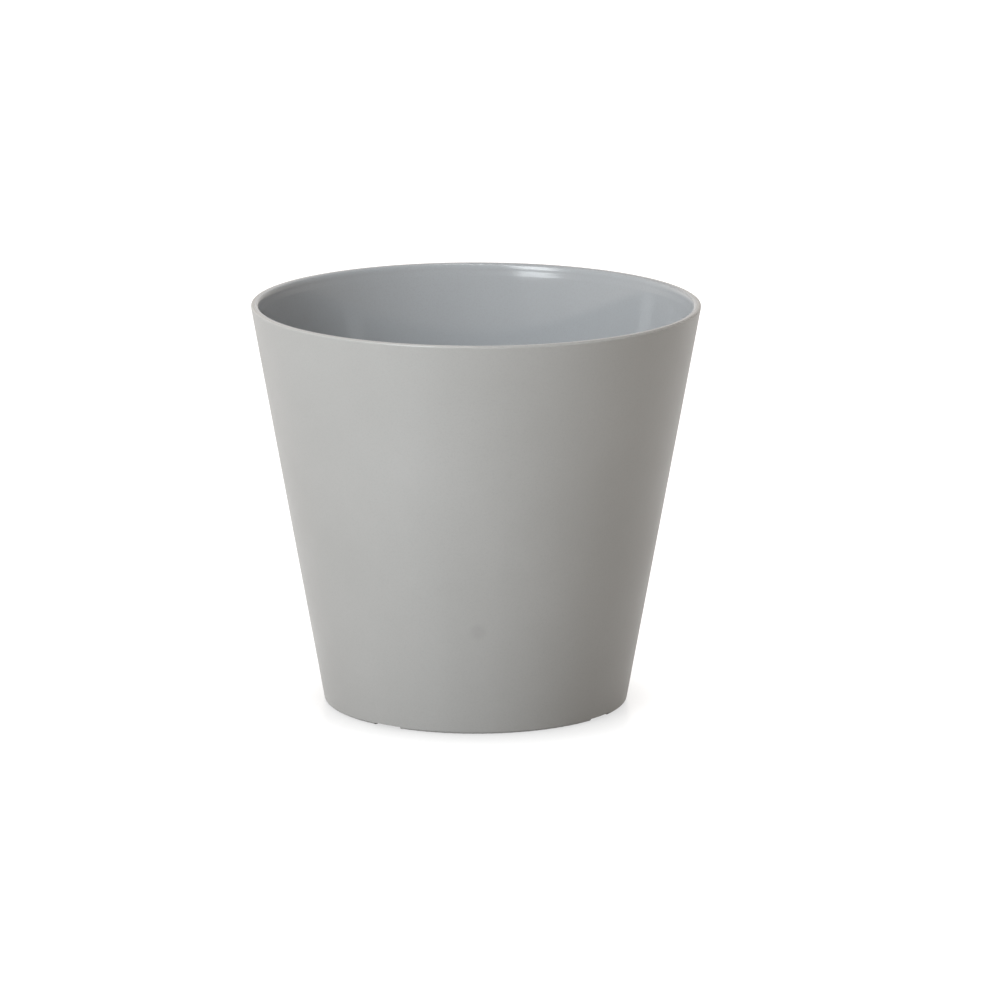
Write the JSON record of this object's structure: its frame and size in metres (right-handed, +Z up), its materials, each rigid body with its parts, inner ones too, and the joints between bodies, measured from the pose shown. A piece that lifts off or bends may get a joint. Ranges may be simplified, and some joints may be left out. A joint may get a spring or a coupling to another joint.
{
  "type": "self watering planter",
  "caption": "Round tapered plant pot with a lift-out watering insert: separator plate, wicking cups, fill tube with hinged cap, float level gauge and overflow drain.",
  "frame": {"origin": "centre of the circle on which the foot ring stands, at the ground", "axes": "+Z up along the pot's axis, -Y to the front (the side with the fill tube and the gauge), +X to the right seen from the front"},
  "size_m": [0.1996, 0.1996, 0.18],
  "materials": {
    "pot_plastic": "grey moulded polypropylene, satin outside, glossier inside",
    "insert_plastic": "charcoal moulded polypropylene, fine texture",
    "tube_plastic": "mid grey extruded tube, satin",
    "cap_plastic": "grey moulded polypropylene, semi-gloss",
    "overflow_plastic": "charcoal moulded polypropylene, smooth",
    "seal_rubber": "black sealing rubber",
    "clear_dome": "clear acrylic",
    "float_plastic": "white moulded polypropylene",
    "flag_plastic": "signal red",
    "pin_steel": "stainless pin"
  },
  "bodies": {
    "pot": {"outer_pot": "pot_plastic", "overflow_pipe": "overflow_plastic", "pipe_washer": "seal_rubber", "pipe_nut": "overflow_plastic"},
    "insert": {"separator_plate": "insert_plastic", "wicking_cup_1": "insert_plastic", "wicking_cup_2": "insert_plastic", "wicking_cup_3": "insert_plastic", "fill_tube": "tube_plastic", "fill_collar": "cap_plastic", "cap_hinge_pin": "pin_steel", "gauge_chamber": "insert_plastic", "chamber_grid": "insert_plastic", "gauge_stem": "tube_plastic", "sight_dome": "clear_dome"},
    "cap": {"fill_cap": "cap_plastic"},
    "float": {"float_cup": "float_plastic", "float_lid": "float_plastic", "float_rod": "float_plastic", "level_flag": "flag_plastic"},
    "plug": {"drain_plug": "overflow_plastic", "plug_oring": "seal_rubber"}
  },
  "joints": [
    {"name": "insert_lift", "type": "slide", "parent": "pot", "child": "insert", "axis": [0, 0, 1], "range_m": [0, 0.19]},
    {"name": "cap_hinge", "type": "hinge", "parent": "insert", "child": "cap", "pos_m": [0.02811, -0.05468, 0.1575], "axis": [1, 0, 0], "range_deg": [0, 110]},
    {"name": "float_rise", "type": "slide", "parent": "insert", "child": "float", "axis": [0, 0, 1], "range_m": [0, 0.0229]},
    {"name": "plug_pull", "type": "slide", "parent": "pot", "child": "plug", "axis": [0, 0, -1], "range_m": [0, 0.012]}
  ]
}
